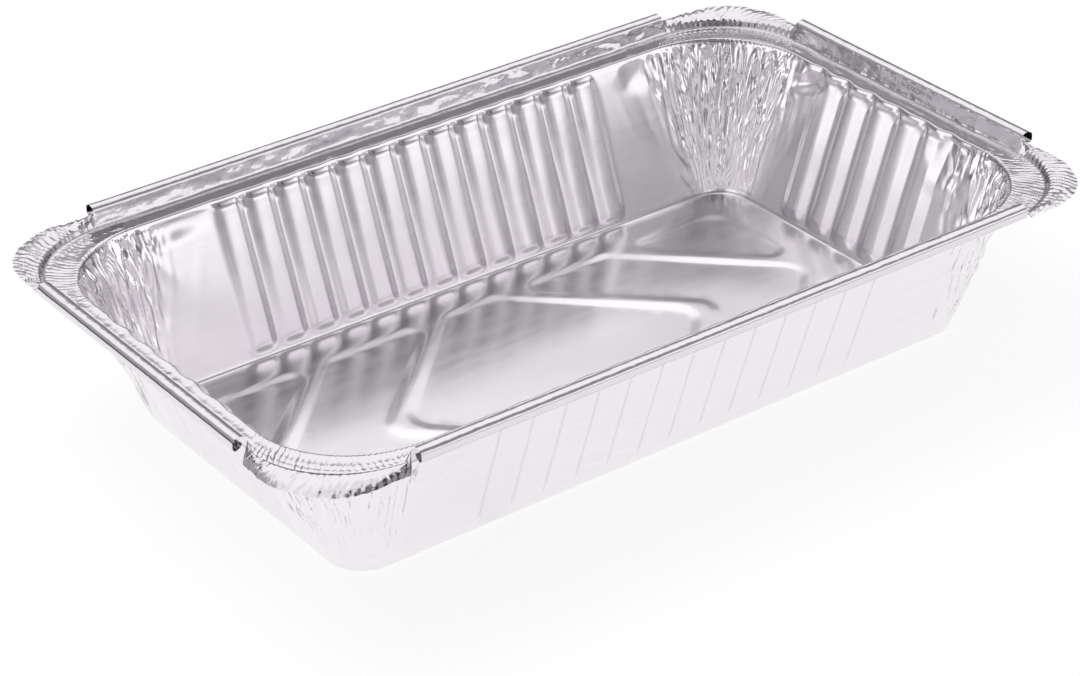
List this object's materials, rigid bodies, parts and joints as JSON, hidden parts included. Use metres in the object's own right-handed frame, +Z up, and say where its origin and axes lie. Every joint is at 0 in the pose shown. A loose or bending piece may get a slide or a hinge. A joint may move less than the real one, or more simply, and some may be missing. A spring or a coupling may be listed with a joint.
{
  "type": "aluminium foil tray",
  "caption": "Oblong pressed aluminium foil tray with ribbed walls, a sunk-panel floor, a lid ledge, rolled hems and crimped, pleated corners.",
  "frame": {"origin": "middle of the underside that the tray stands on", "axes": "+X along the long side, +Y along the short side, +Z up out of the tray's mouth"},
  "size_m": [0.32, 0.2, 0.062],
  "materials": {
    "foil": "polished"
  },
  "bodies": {
    "root": {"foil_tray": "foil"}
  },
  "joints": []
}
